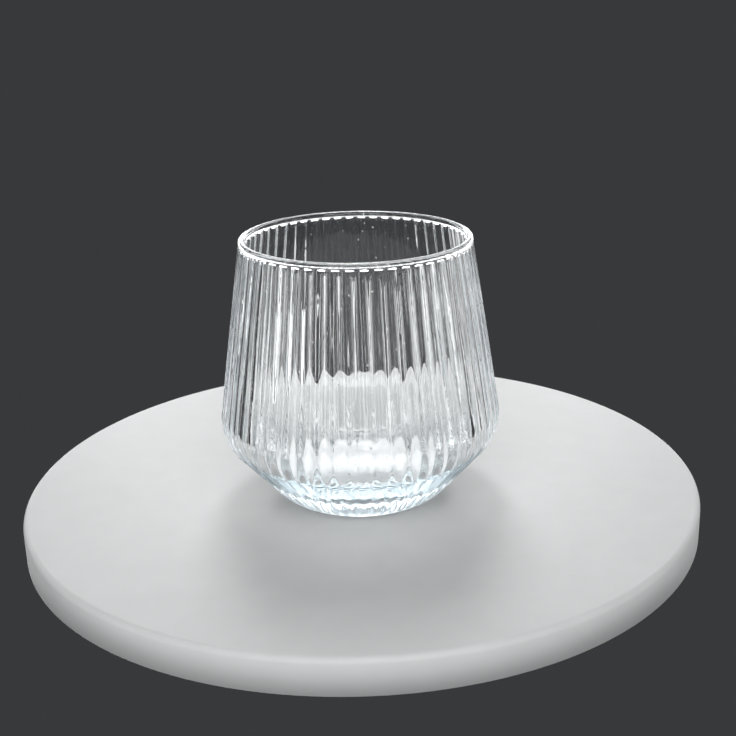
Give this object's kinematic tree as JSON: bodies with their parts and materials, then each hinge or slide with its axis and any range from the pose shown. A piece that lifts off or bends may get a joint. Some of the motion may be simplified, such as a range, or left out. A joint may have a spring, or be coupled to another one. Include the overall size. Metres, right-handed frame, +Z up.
{
  "type": "drinking glass",
  "caption": "Stemless drinking glass of clear glass: ribbed wall that swells to a rounded belly, then tapers in a cone to a small heavy foot, with a smooth rounded lip.",
  "frame": {"origin": "centre of the flat foot, at table level", "axes": "+Z up along the axis of the glass; the picture looks roughly along +Y and down"},
  "size_m": [0.095, 0.095, 0.091],
  "materials": {
    "glass": "fire-polished, clear with a very faint blue tint"
  },
  "bodies": {
    "root": {"rim": "glass", "fluted_wall": "glass", "base": "glass"}
  },
  "joints": []
}
